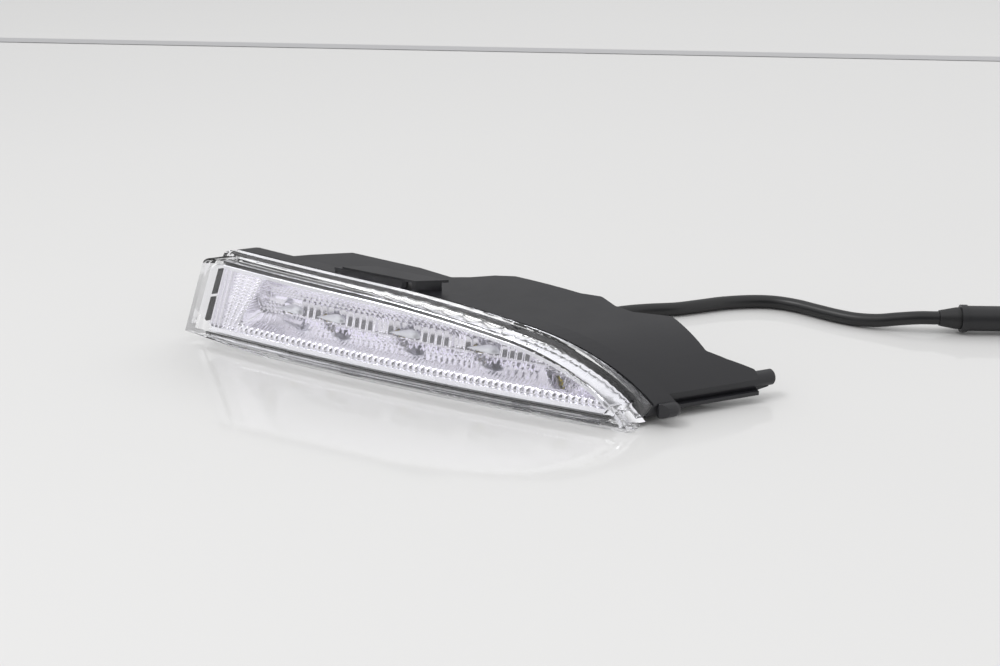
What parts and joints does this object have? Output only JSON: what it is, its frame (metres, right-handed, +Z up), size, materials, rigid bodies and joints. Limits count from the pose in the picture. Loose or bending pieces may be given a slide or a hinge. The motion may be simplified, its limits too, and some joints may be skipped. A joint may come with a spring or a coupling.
{
  "type": "daytime running light",
  "caption": "Wedge-shaped daytime running light: clear lens over a metallised reflector with hooded LEDs, swept-back black housing with locating pegs, sheathed cable and round sealed connector.",
  "frame": {"origin": "middle of the lamp's base in plan, at table height, the cable and connector not counted", "axes": "+X along the lens towards its pointed end, +Y back behind the lens, +Z up"},
  "size_m": [0.3547, 0.2089, 0.0475],
  "materials": {
    "clear_lens": "clear polycarbonate, polished",
    "seal_rubber": "black adhesive bead, satin",
    "housing_black": "moulded black, fine satin",
    "mirror_coat": "metallised plastic, mirror bright",
    "led_package": "yellow phosphor under a clear dome",
    "white_board": "white solder resist",
    "sink_aluminium": "bare, satin",
    "zinc_steel": "zinc plated",
    "green_board": "green solder resist",
    "ferrite": "dark ferrite",
    "can_aluminium": "rolled can",
    "chip_black": "moulded epoxy",
    "header_cream": "nylon",
    "red_sleeve": "wire insulation",
    "black_sleeve": "wire insulation",
    "black_rubber": "moulded rubber, satin",
    "cable_sheath": "smooth sheath, satin",
    "plug_black": "moulded, satin",
    "seal_red": "silicone ring",
    "contact_brass": "plated contacts"
  },
  "bodies": {
    "root": {"outer_lens": "clear_lens", "lens_seal": "seal_rubber", "housing": "housing_black", "reflector": "mirror_coat", "led_1": "led_package", "led_2": "led_package", "led_3": "led_package", "led_4": "led_package", "led_5": "led_package", "led_board": "white_board", "heat_sink": "sink_aluminium", "board_screws": "zinc_steel", "driver_board": "green_board", "driver_screws": "zinc_steel", "inductor": "ferrite", "capacitor": "can_aluminium", "driver_chip": "chip_black", "wire_header": "header_cream", "supply_lead_red": "red_sleeve", "supply_lead_black": "black_sleeve", "led_lead_red": "red_sleeve", "led_lead_black": "black_sleeve", "breather_cap": "black_rubber", "cable_gland": "black_rubber", "cable": "cable_sheath", "plug_boot": "black_rubber", "plug_nut": "plug_black", "plug_seal": "seal_red", "plug_body": "plug_black", "plug_pins": "contact_brass"}
  },
  "joints": []
}
